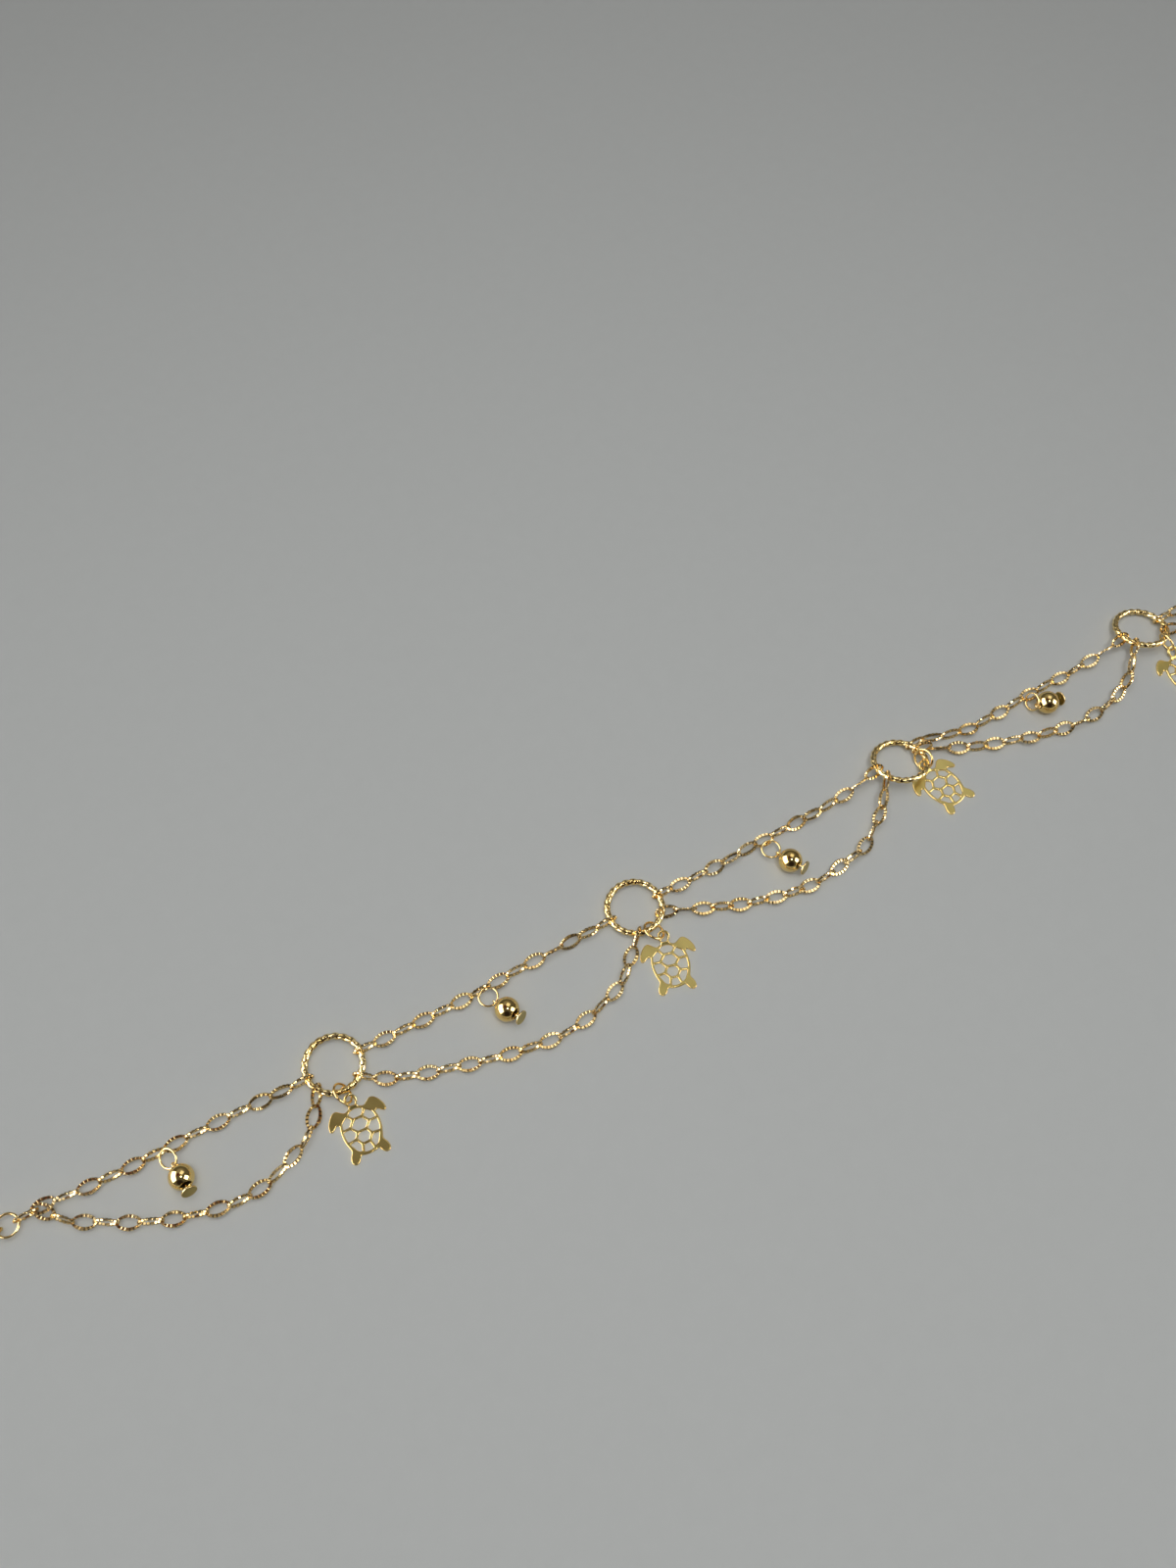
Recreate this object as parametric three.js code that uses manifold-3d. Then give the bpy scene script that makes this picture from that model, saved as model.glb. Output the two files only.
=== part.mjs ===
// A charm anklet laid open on a flat surface: five swags of two fine chains hang between four
// twisted wire rings; each ring carries a flat pierced turtle and each swag a polished ball.
// Millimetres, +Z up, +X along the anklet. The surface is the plane z = 0.
import * as THREE from 'three';
import { mergeVertices } from 'three/addons/utils/BufferGeometryUtils.js';
import Module from 'manifold-3d';

const wasm = await Module();
wasm.setup();

// ---------- driving dimensions ----------
const twistRing = { outer: 8.95, wire: 0.95 };
const chain = { diameter: 1.4, height: 1.1, stepLength: 3 };
const link = { length: 3.6, width: 2.2, wire: 0.33 };
const linkGrip = 0.75; // from a link's centre to the wire that it hangs on
const tubeStart = 1.3; // from a gripping link's centre to the end of its tube
const charmRing = { outer: 3.4, wire: 0.36 };
const ballRing = { outer: 3.0, wire: 0.3 };
const ball = { diameter: 3.5, wall: 0.35, pinHole: 1.15, mouth: 1.8, lift: 0.02 };
const pin = { wire: 0.28, eye: 1.1, eyeReach: 2, disc: 2.2, discThickness: 0.2, discReach: 2.4 };
const turtle = { thickness: 0.4, headTilt: 27, neckLine: 3.3, neckOverlap: 0.1, headLift: 0.05 };
const clasp = { bodyLength: 10, bodyWidth: 5, thickness: 1.8, rim: 1.2, nose: 0.9, eyeOut: 1.25,
  ringOut: 2.1 };
const sweepGap = 0.3; // room kept where a ball's ring passes through a chain

// Twisted rings: centre, and how far each leans up on the side nearest the turtles (degrees).
const ringPlaces = [
  { x: 0, y: -0.2, z: 1.05, lean: 0 },
  { x: 47.7, y: -0.9, z: 1.05, lean: 0 },
  { x: 94.7, y: -0.8, z: 1.95, lean: 16 },
  { x: 142.5, y: -0.3, z: 1.7, lean: 15 },
];
const leanAxis = new THREE.Vector3(0.867, -0.498, 0).normalize();

// Turtles: shell centre and turn; then their jump ring's centre and the way its plane faces.
const turtlePlaces = [
  { x: -0.5, y: -9.95, turn: -4.8, ringX: -0.61, ringY: -4.57, ringZ: 1.4, azimuth: 0, slope: 54 },
  { x: 47.9, y: -10.8, turn: -16, ringX: 48.3, ringY: -5.4, ringZ: 1.1, azimuth: 14.6, slope: 33.5 },
  { x: 98.75, y: -7.1, turn: 11, ringX: 98.2, ringY: -2.2, ringZ: 1.7, azimuth: 189.4, slope: 61.8 },
  { x: 144.1, y: -10.1, turn: -8, ringX: 144.41, ringY: -4.4, ringZ: 1.7, azimuth: 0, slope: 76 },
];

// Balls: centre, heading and pitch of the pin, then the centre and lean of the ring on the chain.
const ballPlaces = [
  { x: -23.8, y: -4.12, heading: -84, pitch: 12, ringX: -24.5, ringY: -0.9, ringZ: 1.35, lean: 35 },
  { x: 24.32, y: -5.38, heading: -64, pitch: 12, ringX: 22.95, ringY: -2.35, ringZ: 1.35, lean: 5 },
  { x: 71.18, y: -6.18, heading: -66, pitch: 12, ringX: 69.85, ringY: -3.1, ringZ: 1.35, lean: 0 },
  { x: 120.86, y: -3.78, heading: -5, pitch: -13, ringX: 118.9, ringY: -2.45, ringZ: 1.75, lean: 67 },
  { x: 167.35, y: -4.71, heading: -80, pitch: 12, ringX: 166.8, ringY: -1.4, ringZ: 1.35, lean: 20 },
];

// The two ends: the common link, its jump ring, and the way that the anklet goes from there.
const ends = [
  { x: -43.4, y: 1.6, toward: 1 },
  { x: 185.9, y: 1.3, toward: -1 },
];
const endRingReach = 2.55; // from the common link's centre to its jump ring's centre

// Where each chain grips: a ring number and the angle round it, or an end; then its heading.
const upperGrips = [
  { from: { end: 0, rise: 0.27, heading: 0 }, to: { ring: 0, angle: 180, heading: 180 } },
  { from: { ring: 0, angle: 0, heading: -3 }, to: { ring: 1, angle: 180, heading: 180 } },
  { from: { ring: 1, angle: 0, heading: -2 }, to: { ring: 2, angle: 176, heading: 184 } },
  { from: { ring: 2, angle: 27, heading: 0 }, to: { ring: 3, angle: 184, heading: 184 } },
  { from: { ring: 3, angle: 2, heading: -2 }, to: { end: 1, rise: 0.27, heading: 180 } },
];
const lowerGrips = [
  { from: { end: 0, rise: -0.27, heading: -52 }, to: { ring: 0, angle: 212, heading: 236 } },
  { from: { ring: 0, angle: -52, heading: -40 }, to: { ring: 1, angle: 247, heading: 224 } },
  { from: { ring: 1, angle: -42, heading: -18 }, to: { ring: 2, angle: 203, heading: 228 } },
  { from: { ring: 2, angle: 8, heading: -8 }, to: { ring: 3, angle: 213, heading: 225 } },
  { from: { ring: 3, angle: -33, heading: -24 }, to: { end: 1, rise: -0.27, heading: 232 } },
];

// The chains' routes between their grips, chosen by hand: [x, y, z] of each point.
const h = chain.height;
const upperRoutes = [
  [[-34.5, 1.0, h], [-28.5, 0.65, h], [-22.5, 0.55, h], [-16.6, 0.4, h], [-10.6, 0.1, h]],
  [[7.7, -0.4, h], [13.6, -0.7, h], [19.5, -0.9, h], [25.4, -0.85, h], [31.4, -0.8, h],
    [37.3, -0.85, h]],
  [[55.1, -1.1, h], [61, -1.3, h], [66.7, -1.2, h], [72.5, -1.25, h], [78.2, -1.3, h],
    [84.2, -1.1, h + 0.2]],
  [[102.3, 0.3, h + 0.1], [105.2, -0.7, h], [108.1, -1.2, h], [113.9, -1.2, h], [120, -0.9, h],
    [125.9, -1, h], [131.7, -0.9, h + 0.2]],
  [[150.1, -0.3, h + 0.1], [156, 0, h], [162, 0.2, h], [168, 0.4, h], [174, 0.7, h],
    [179.5, 1.1, h]],
];
const lowerRoutes = [
  [[-38.7, -1.95, h], [-36.3, -3.4, h], [-31.2, -6.4, h], [-25.8, -8.8, h], [-19.9, -10.4, h],
    [-16.9, -10.6, h], [-13.9, -10.2, h], [-11, -9.3, h], [-8.6, -8, h], [-6.4, -6.7, h]],
  [[5.4, -5.5, h], [8.1, -6.7, h], [10.9, -7.7, h], [16.4, -9.5, h], [22.2, -11.1, h],
    [28.1, -12.15, h], [31.1, -12.2, h], [33.9, -11.8, h], [36.7, -11.1, h], [39.5, -10.1, h],
    [41.9, -8.6, h], [43.5, -7, h]],
  [[53.8, -4.7, h], [56.6, -6.1, h], [62, -8.4, h], [67.7, -10.1, h], [70.6, -10.6, h],
    [73.5, -10.8, h], [76.4, -10.5, h], [79.3, -10.1, h], [82.1, -9.6, h], [84.4, -8.3, h + 0.1],
    [86.6, -6.9, h + 0.4], [88.5, -5.2, h + 0.8]],
  [[101.9, -1.8, h + 0.1], [104.3, -3, h], [107, -4.3, h], [109.6, -5.2, h], [115.1, -7.1, h],
    [120.9, -8.5, h], [123.8, -8.9, h], [126.6, -8.8, h], [129.5, -8.5, h], [132.3, -7.7, h + 0.1],
    [134.8, -6.5, h + 0.4], [136.8, -4.9, h + 0.8]],
  [[149.3, -4.4, h], [151.6, -6.2, h], [154.8, -8.3, h], [159.6, -10.2, h], [165.2, -10.7, h],
    [170, -9.9, h], [174.6, -7.6, h], [178.9, -4.7, h], [181.2, -2.6, h]],
];

// ---------- finishes ----------
function gold(name, color, roughness) {
  return new THREE.MeshStandardMaterial({ name, color, roughness, metalness: 1 });
}
const finishes = {
  twistRing: () => gold('diamond_cut_gold', 0xe3bf6b, 0.22),
  chain: () => gold('chain_gold', 0xd9b56a, 0.28),
  wire: () => gold('wire_gold', 0xe6c67a, 0.2),
  ball: () => gold('polished_gold', 0xe0bd6a, 0.1),
  turtle: () => gold('satin_gold', 0xb59a50, 0.38),
};

// ---------- helpers ----------
const radians = THREE.MathUtils.degToRad;
const up = new THREE.Vector3(0, 0, 1);

function heading(degrees, pitch = 0) {
  const flat = Math.cos(radians(pitch));
  return new THREE.Vector3(
    flat * Math.cos(radians(degrees)), flat * Math.sin(radians(degrees)), Math.sin(radians(pitch)));
}

function solidOf(geometry) {
  const bare = geometry.clone();
  bare.deleteAttribute('normal');
  bare.deleteAttribute('uv');
  const merged = mergeVertices(bare, 1e-4);
  return new wasm.Manifold(new wasm.Mesh({
    numProp: 3,
    vertProperties: new Float32Array(merged.attributes.position.array),
    triVerts: new Uint32Array(merged.index.array),
  }));
}

function geometryOf(solid) {
  const { numProp, vertProperties, triVerts } = solid.getMesh();
  const positions = new Float32Array((vertProperties.length / numProp) * 3);
  for (let i = 0; i < positions.length / 3; i += 1) {
    for (let axis = 0; axis < 3; axis += 1) {
      positions[3 * i + axis] = vertProperties[numProp * i + axis];
    }
  }
  const geometry = new THREE.BufferGeometry();
  geometry.setAttribute('position', new THREE.BufferAttribute(positions, 3));
  geometry.setIndex(new THREE.BufferAttribute(new Uint32Array(triVerts), 1));
  geometry.computeVertexNormals();
  return geometry;
}

// A closed ring of round wire lying in the XY plane.
function wireRing(outer, wire, around, section = 8) {
  const profile = [];
  for (let i = 0; i <= section; i += 1) {
    const turn = (i % section) * (2 * Math.PI / section);
    const radius = (outer - wire) / 2 + (wire / 2) * Math.cos(turn);
    profile.push(new THREE.Vector2(radius, (wire / 2) * Math.sin(turn)));
  }
  return new THREE.LatheGeometry(profile, around).rotateX(Math.PI / 2);
}

// An oval link cut from plate: long along X, standing in the XZ plane, or lying in XY if flat.
function linkPlate(flat = false) {
  const oval = (length, width, shape) => {
    const straight = (length - width) / 2;
    shape.absarc(straight, 0, width / 2, -Math.PI / 2, Math.PI / 2, false);
    shape.absarc(-straight, 0, width / 2, Math.PI / 2, 3 * Math.PI / 2, false);
    shape.closePath();
    return shape;
  };
  const outline = oval(link.length, link.width, new THREE.Shape());
  const hole = oval(link.length - 2 * link.wire, link.width - 2 * link.wire, new THREE.Path());
  outline.holes.push(hole);
  const flatOval = { depth: link.wire, bevelEnabled: false, curveSegments: 3 };
  const plate = new THREE.ExtrudeGeometry(outline, flatOval);
  plate.translate(0, 0, -link.wire / 2);
  return flat ? plate : plate.rotateX(Math.PI / 2);
}

function tube(points, diameter) {
  const section = new THREE.Shape();
  const sides = 8;
  for (let i = 0; i < sides; i += 1) {
    const turn = (i + 0.5) * (2 * Math.PI / sides);
    const x = (diameter / 2) * Math.cos(turn);
    const y = (diameter / 2) * Math.sin(turn);
    if (i === 0) section.moveTo(x, y);
    else section.lineTo(x, y);
  }
  section.closePath();
  const route = new THREE.CatmullRomCurve3(points, false, 'centripetal');
  const steps = Math.ceil(route.getLength() / chain.stepLength);
  return new THREE.ExtrudeGeometry(section, { extrudePath: route, steps, curveSegments: 1 });
}

const nodes = [];
function addNode(name, geometry, material) {
  const mesh = new THREE.Mesh(geometry, material);
  mesh.name = name;
  nodes.push(mesh);
  return mesh;
}

// ---------- twisted rings ----------
function ringTurn(place) {
  return new THREE.Quaternion().setFromAxisAngle(leanAxis, -radians(place.lean));
}

function pointOnRing(place, angle) {
  const radius = (twistRing.outer - twistRing.wire) / 2;
  return heading(angle).multiplyScalar(radius).applyQuaternion(ringTurn(place))
    .add(new THREE.Vector3(place.x, place.y, place.z));
}

ringPlaces.forEach((place, i) => {
  const shape = wireRing(twistRing.outer, twistRing.wire, 24);
  const mesh = addNode(`twist_ring_${i + 1}`, shape, finishes.twistRing());
  mesh.quaternion.copy(ringTurn(place));
  mesh.position.set(place.x, place.y, place.z);
});

// ---------- balls, their pins and their rings ----------
function ballGeometry() {
  const outer = ball.diameter / 2;
  const inner = outer - ball.wall;
  const profile = [];
  const arc = (radius, startRadius, endRadius, steps) => {
    const first = -Math.PI + Math.asin(startRadius / radius);
    const last = -Math.asin(endRadius / radius);
    for (let i = 0; i <= steps; i += 1) {
      const turn = first + (last - first) * (i / steps);
      profile.push(new THREE.Vector2(-radius * Math.sin(turn), radius * Math.cos(turn)));
    }
  };
  arc(outer, ball.pinHole / 2, ball.mouth / 2, 8);
  const outside = profile.splice(0);
  arc(inner, ball.pinHole / 2, ball.mouth / 2, 5);
  profile.reverse();
  const closed = [...outside, ...profile, outside[0].clone()];
  return new THREE.LatheGeometry(closed, 16).rotateX(Math.PI / 2); // pin hole at -Z, mouth at +Z
}

function pinGeometry() {
  const half = pin.wire / 2;
  const shaftStart = -(pin.eyeReach - pin.eye / 2 + pin.wire / 2);
  const shaft = new THREE.LatheGeometry([
    new THREE.Vector2(0, shaftStart),
    new THREE.Vector2(half, shaftStart),
    new THREE.Vector2(half, pin.discReach),
    new THREE.Vector2(pin.disc / 2, pin.discReach),
    new THREE.Vector2(pin.disc / 2, pin.discReach + pin.discThickness),
    new THREE.Vector2(0, pin.discReach + pin.discThickness),
  ], 12).rotateX(Math.PI / 2);
  const eye = wireRing(pin.eye, pin.wire, 12, 6).rotateX(Math.PI / 2).translate(0, 0, -pin.eyeReach);
  return geometryOf(solidOf(shaft).add(solidOf(eye)));
}

// A ring's own turn: its plane holds the line to what it carries, and leans about that line.
function ringFrame(place, carried) {
  const middle = new THREE.Vector3(place.ringX, place.ringY, place.ringZ);
  const reach = carried.clone().sub(middle).normalize();
  const level = new THREE.Vector3().crossVectors(up, reach).normalize();
  const across = level.applyAxisAngle(reach, radians(place.lean));
  const normal = new THREE.Vector3().crossVectors(reach, across);
  return { across, turn: new THREE.Quaternion().setFromUnitVectors(up, normal) };
}

const ballRingSweeps = ballPlaces.map((place, i) => {
  const axis = heading(place.heading, place.pitch);
  const centre = new THREE.Vector3(place.x, place.y, ball.diameter / 2 + ball.lift);
  const eye = centre.clone().addScaledVector(axis, -pin.eyeReach);
  const { across, turn } = ringFrame(place, eye);

  // The pin's eye stands across the ring that passes through it.
  const eyeNormal = across.clone().addScaledVector(axis, -across.dot(axis)).normalize();
  const side = new THREE.Vector3().crossVectors(eyeNormal, axis);
  const pinTurn = new THREE.Quaternion().setFromRotationMatrix(
    new THREE.Matrix4().makeBasis(side, eyeNormal, axis));

  const ballMesh = addNode(`bead_${i + 1}`, ballGeometry(), finishes.ball());
  ballMesh.quaternion.copy(pinTurn);
  ballMesh.position.copy(centre);
  const pinMesh = addNode(`head_pin_${i + 1}`, pinGeometry(), finishes.wire());
  pinMesh.quaternion.copy(pinTurn);
  pinMesh.position.copy(centre);
  const ringShape = wireRing(ballRing.outer, ballRing.wire, 18, 6);
  const ringMesh = addNode(`bead_jump_ring_${i + 1}`, ringShape, finishes.wire());
  ringMesh.quaternion.copy(turn);
  ringMesh.position.set(place.ringX, place.ringY, place.ringZ);

  const sweep = wireRing(ballRing.outer + 2 * sweepGap, ballRing.wire + 2 * sweepGap, 16, 8);
  sweep.applyQuaternion(turn);
  sweep.translate(place.ringX, place.ringY, place.ringZ);
  return solidOf(sweep);
});

// ---------- turtles ----------
// Half of the outline, from the middle of the tail to the neck; the other half is its mirror.
const halfOutline = [
  [0, -3.45], [0.75, -3.36], [1.3, -3.2], [1.5, -3.65], [1.9, -4.15], [2.45, -4.2], [2.8, -3.75],
  [2.7, -3.05], [2.2, -2.2], [2.45, -1.55], [2.72, -0.5], [2.75, 0.6], [2.55, 1.7], [3.0, 1.8],
  [3.45, 1.35], [3.85, 1.15], [4.1, 1.45], [4.0, 2.2], [3.5, 3.1], [2.95, 3.65], [2.4, 3.75],
  [1.85, 3.3], [1.3, 2.95], [0.7, 3.3],
];
// The cells pierced through the shell: corners of each, and whether it is repeated mirrored.
const cells = [
  { mirrored: false,
    corners: [[-0.6, 1.85], [0.6, 1.85], [1.15, 2.62], [0.62, 3], [0, 3.1], [-0.62, 3],
      [-1.15, 2.62]] },
  { mirrored: false,
    corners: [[-0.55, 0], [0.55, 0], [1.22, 0.76], [0.52, 1.62], [-0.52, 1.62], [-1.22, 0.76]] },
  { mirrored: false,
    corners: [[-0.46, -1.72], [0.46, -1.72], [0.95, -0.95], [0.55, -0.24], [-0.55, -0.24],
      [-0.95, -0.95]] },
  { mirrored: false,
    corners: [[-0.72, -2.98], [0, -3.12], [0.72, -2.98], [0.42, -1.96], [-0.42, -1.96]] },
  { mirrored: true,
    corners: [[1.42, 0.88], [2.4, 0.88], [2.2, 1.8], [1.35, 2.45], [0.8, 1.75]] },
  { mirrored: true,
    corners: [[1.2, -0.85], [2.28, -1], [2.44, -0.3], [2.45, 0.64], [1.42, 0.64], [0.8, -0.12]] },
  { mirrored: true,
    corners: [[0.95, -2.85], [1.5, -2.5], [2.15, -1.24], [1.2, -1.1], [0.68, -1.85]] },
];
const cellScale = 0.95; // the cells about their own middles, which sets the bars' width
const head = { middle: 4.45, halfWidth: 0.88, halfLength: 0.94, holeWidth: 0.54, holeLength: 0.74,
  holeMiddle: 4.36 };
// The throat that joins the head to the shell, measured from the neck line.
const throatCorners = [[-0.7, -0.1], [0.7, -0.1], [0.75, 0.9], [-0.75, 0.9]];

function polygon(points, shape) {
  points.forEach(([x, y], i) => (i === 0 ? shape.moveTo(x, y) : shape.lineTo(x, y)));
  shape.closePath();
  return shape;
}

function scaledCell(corners) {
  const middle = [0, 1].map((axis) => corners.reduce((sum, at) => sum + at[axis], 0) / corners.length);
  return corners.map((at) => at.map((value, axis) => middle[axis] + cellScale * (value - middle[axis])));
}

function plate(shape) {
  const flatPlate = { depth: turtle.thickness, bevelEnabled: false, curveSegments: 8 };
  return new THREE.ExtrudeGeometry(shape, flatPlate);
}

function turtleGeometry() {
  const mirrorOf = (points) => points.map(([x, y]) => [-x, y]).reverse();
  const body = polygon([...halfOutline, ...mirrorOf(halfOutline.slice(1))], new THREE.Shape());
  cells.forEach(({ mirrored, corners }) => {
    const cell = scaledCell(corners);
    body.holes.push(polygon(cell, new THREE.Path()));
    if (mirrored) body.holes.push(polygon(mirrorOf(cell), new THREE.Path()));
  });

  const loop = new THREE.Shape();
  loop.absellipse(0, head.middle - turtle.neckLine, head.halfWidth, head.halfLength, 0, 2 * Math.PI);
  const throat = polygon(throatCorners, new THREE.Shape());
  const hole = new THREE.Shape();
  const holeMiddle = head.holeMiddle - turtle.neckLine;
  hole.absellipse(0, holeMiddle, head.holeWidth, head.holeLength, 0, 2 * Math.PI);
  const drill = new THREE.ExtrudeGeometry(hole, { depth: 3, bevelEnabled: false, curveSegments: 8 });
  drill.translate(0, 0, -1);
  const raised = solidOf(plate(loop)).add(solidOf(plate(throat))).subtract(solidOf(drill));

  // The head loop is bent up from the shell so that a ring can pass under it.
  const bent = geometryOf(raised);
  bent.rotateX(radians(turtle.headTilt));
  bent.translate(0, turtle.neckLine - turtle.neckOverlap, turtle.headLift);
  return geometryOf(solidOf(plate(body)).add(solidOf(bent)));
}

turtlePlaces.forEach((place, i) => {
  const mesh = addNode(`turtle_${i + 1}`, turtleGeometry(), finishes.turtle());
  mesh.rotation.z = radians(place.turn);
  mesh.position.set(place.x, place.y, 0);
  const ringShape = wireRing(charmRing.outer, charmRing.wire, 20, 6);
  const ring = addNode(`turtle_jump_ring_${i + 1}`, ringShape, finishes.wire());
  const facing = heading(place.azimuth, 90 - place.slope);
  ring.quaternion.setFromUnitVectors(up, facing);
  ring.position.set(place.ringX, place.ringY, place.ringZ);
});

// ---------- chains ----------
// The link that grips a ring or a common link: where its centre is and how it is turned.
function grippingLink(grip) {
  const outward = heading(grip.heading);
  if (grip.ring !== undefined) {
    const centre = pointOnRing(ringPlaces[grip.ring], grip.angle).addScaledVector(outward, linkGrip);
    centre.z = Math.max(centre.z, chain.height);
    return { centre, outward, geometry: linkPlate() };
  }
  const end = ends[grip.end];
  const tipX = end.x + end.toward * (link.length - link.wire) / 2;
  const tip = new THREE.Vector3(tipX, end.y, chain.height + grip.rise);
  return { centre: tip.addScaledVector(outward, linkGrip), outward, geometry: linkPlate(true) };
}

function chainGeometry(grips, route, sweep) {
  const first = grippingLink(grips.from);
  const last = grippingLink(grips.to);
  const points = [
    first.centre.clone().addScaledVector(first.outward, tubeStart),
    ...route.map(([x, y, z]) => new THREE.Vector3(x, y, z)),
    last.centre.clone().addScaledVector(last.outward, tubeStart),
  ];
  let solid = solidOf(tube(points, chain.diameter));
  for (const { centre, outward, geometry } of [first, last]) {
    geometry.rotateZ(Math.atan2(outward.y, outward.x));
    geometry.translate(centre.x, centre.y, centre.z);
    solid = solid.add(solidOf(geometry));
  }
  return geometryOf(sweep ? solid.subtract(sweep) : solid);
}

upperRoutes.forEach((route, i) => {
  const shape = chainGeometry(upperGrips[i], route, ballRingSweeps[i]);
  addNode(`chain_upper_${i + 1}`, shape, finishes.chain());
});
lowerRoutes.forEach((route, i) => {
  addNode(`chain_lower_${i + 1}`, chainGeometry(lowerGrips[i], route), finishes.chain());
});

// ---------- the two ends ----------
ends.forEach((end, i) => {
  const common = addNode(`end_link_${i + 1}`, linkPlate(), finishes.chain());
  common.position.set(end.x, end.y, chain.height);
  const ringShape = wireRing(charmRing.outer, charmRing.wire, 20, 6);
  const ring = addNode(`end_jump_ring_${i + 1}`, ringShape, finishes.wire());
  ring.position.set(end.x - end.toward * endRingReach, end.y, chain.height);
});

// The clasp lies flat; its eye stands on edge so that the flat end ring passes through it.
function claspGeometry() {
  const outline = new THREE.Shape();
  outline.absellipse(0, 0, clasp.bodyLength / 2, clasp.bodyWidth / 2, 0, 2 * Math.PI);
  const opening = new THREE.Path();
  const openingLength = clasp.bodyLength / 2 - clasp.nose - clasp.rim;
  opening.absellipse(-clasp.nose, 0, openingLength, clasp.bodyWidth / 2 - clasp.rim, 0, 2 * Math.PI);
  outline.holes.push(opening);
  const flatBody = { depth: clasp.thickness, bevelEnabled: false, curveSegments: 12 };
  const body = new THREE.ExtrudeGeometry(outline, flatBody);
  const eye = linkPlate().translate(clasp.bodyLength / 2 + clasp.eyeOut, 0, chain.height);
  return geometryOf(solidOf(body).add(solidOf(eye)));
}
const claspMesh = addNode('clasp', claspGeometry(), finishes.ball());
// The end ring's near side lies in the clasp's eye, ringOut beyond the body.
const endRingRadius = (charmRing.outer - charmRing.wire) / 2;
const claspReach = endRingReach + endRingRadius + clasp.bodyLength / 2 + clasp.ringOut;
claspMesh.position.set(ends[0].x - claspReach, ends[0].y, 0);

// ---------- assembly, centred on its own footprint ----------
const anklet = new THREE.Group();
anklet.name = 'charm_anklet';
anklet.add(...nodes);
anklet.updateMatrixWorld(true);
const footprint = new THREE.Box3().setFromObject(anklet, true).getCenter(new THREE.Vector3());
anklet.position.set(-footprint.x, -footprint.y, 0);

export default anklet;
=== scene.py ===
import math
import random

import bmesh
import bpy
from mathutils import Matrix, Vector


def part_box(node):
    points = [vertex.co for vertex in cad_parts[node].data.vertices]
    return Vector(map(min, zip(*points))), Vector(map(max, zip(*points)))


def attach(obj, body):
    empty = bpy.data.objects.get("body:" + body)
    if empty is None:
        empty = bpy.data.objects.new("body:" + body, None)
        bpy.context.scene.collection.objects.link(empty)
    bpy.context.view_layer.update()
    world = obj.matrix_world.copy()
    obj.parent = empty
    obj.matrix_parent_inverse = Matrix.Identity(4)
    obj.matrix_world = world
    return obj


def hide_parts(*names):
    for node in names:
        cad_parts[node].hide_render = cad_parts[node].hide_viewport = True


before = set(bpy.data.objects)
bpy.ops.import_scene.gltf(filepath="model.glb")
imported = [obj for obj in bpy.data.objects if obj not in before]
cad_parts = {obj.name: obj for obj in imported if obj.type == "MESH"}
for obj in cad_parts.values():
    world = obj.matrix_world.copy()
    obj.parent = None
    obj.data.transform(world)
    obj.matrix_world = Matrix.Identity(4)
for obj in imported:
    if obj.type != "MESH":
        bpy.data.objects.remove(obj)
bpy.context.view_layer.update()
mm = 0.001
weldReach = 0.001  # in millimetres, as each piece is until it is put down
random.seed(11)

# Places below are in millimetres from a point just behind the first twisted ring's middle.
ringLow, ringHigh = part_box("twist_ring_1")
layoutOrigin = Vector(((ringLow.x + ringHigh.x) / 2, (ringLow.y + ringHigh.y) / 2 + 0.2 * mm, 0))


def place(x, y, z=0.0):
    return layoutOrigin + Vector((x, y, z)) * mm


def heading(degrees, pitch=0.0):
    flat = math.cos(math.radians(pitch))
    turn = math.radians(degrees)
    return Vector((flat * math.cos(turn), flat * math.sin(turn), math.sin(math.radians(pitch))))


print("camera")
cameraPlace = {"x": 4.84, "y": -61.93, "z": 186.51, "lookDown": 63.04, "turn": -29.89, "lens": 31.5}
cameraData = bpy.data.cameras.new("camera")
cameraData.lens = cameraPlace["lens"]
cameraData.sensor_width = 36
cameraData.clip_start = 0.005
camera = bpy.data.objects.new("camera", cameraData)
bpy.context.scene.collection.objects.link(camera)
camera.location = place(cameraPlace["x"], cameraPlace["y"], cameraPlace["z"])
camera.rotation_euler = (
    math.radians(90 - cameraPlace["lookDown"]), 0, math.radians(cameraPlace["turn"]))
bpy.context.scene.camera = camera


print("golds")
driftSpread = (0.35, 0.65)
polishSpread = (0.3, 0.7)


def joinSockets(tree, fromNode, fromName, toNode, toName):
    tree.links.new(fromNode.outputs[fromName], toNode.inputs[toName])


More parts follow.
